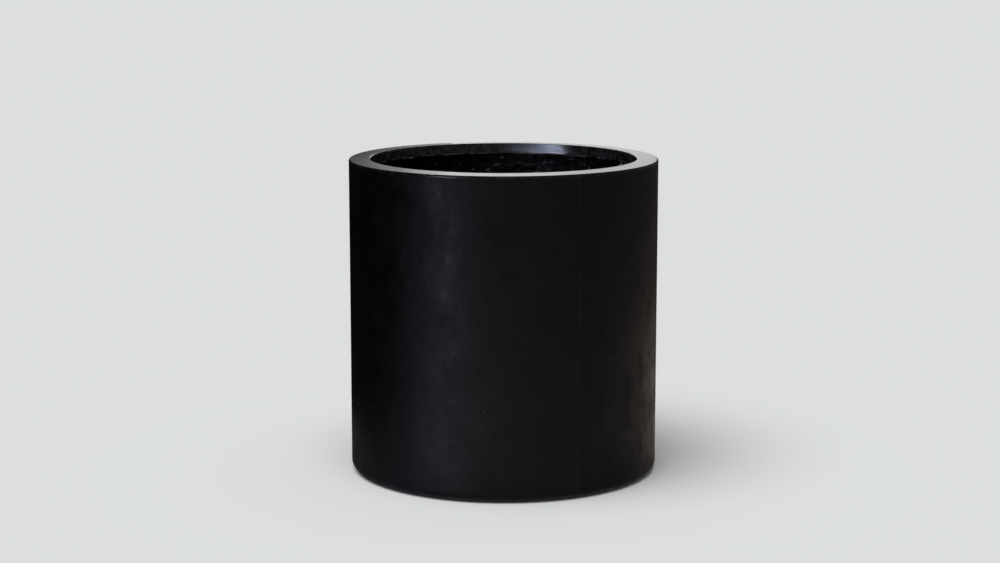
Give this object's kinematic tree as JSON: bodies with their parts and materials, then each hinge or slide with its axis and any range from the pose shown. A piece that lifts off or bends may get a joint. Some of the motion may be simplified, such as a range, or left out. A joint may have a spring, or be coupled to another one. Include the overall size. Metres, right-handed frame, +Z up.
{
  "type": "floor planter",
  "caption": "Round straight-sided black fibreglass floor planter with a broad flat rim, a turned-down inner lip, a rounded foot and a lift-out drain plug.",
  "frame": {"origin": "on the floor, on the planter's axis, under the middle of its base", "axes": "+Z up along the planter's axis, -Y towards the front, +X to the right seen from the front"},
  "size_m": [0.49, 0.49, 0.5],
  "materials": {
    "satin_gelcoat": "satin black gelcoat with faint cloudy marks",
    "buffed_gelcoat": "black gelcoat, sanded and buffed in rings",
    "resin_mat": "rough chopped-strand mat wetted out with glossy black resin",
    "laminate": "dull pressed glass-fibre laminate",
    "filler_paste": "matt polyester filler",
    "black_rubber": "matt moulded rubber"
  },
  "bodies": {
    "planter": {"shell_half_right": "satin_gelcoat", "shell_half_left": "satin_gelcoat", "rim_ring": "buffed_gelcoat", "rim_core": "filler_paste", "wall_lining": "resin_mat", "base_disc": "laminate", "base_lining": "resin_mat", "foot_pad_1": "black_rubber", "foot_pad_2": "black_rubber", "foot_pad_3": "black_rubber", "foot_pad_4": "black_rubber"},
    "plug": {"drain_plug": "black_rubber"}
  },
  "joints": [
    {"name": "plug_lift", "type": "slide", "parent": "planter", "child": "plug", "axis": [0, 0, 1], "range_m": [0, 0.52]}
  ]
}
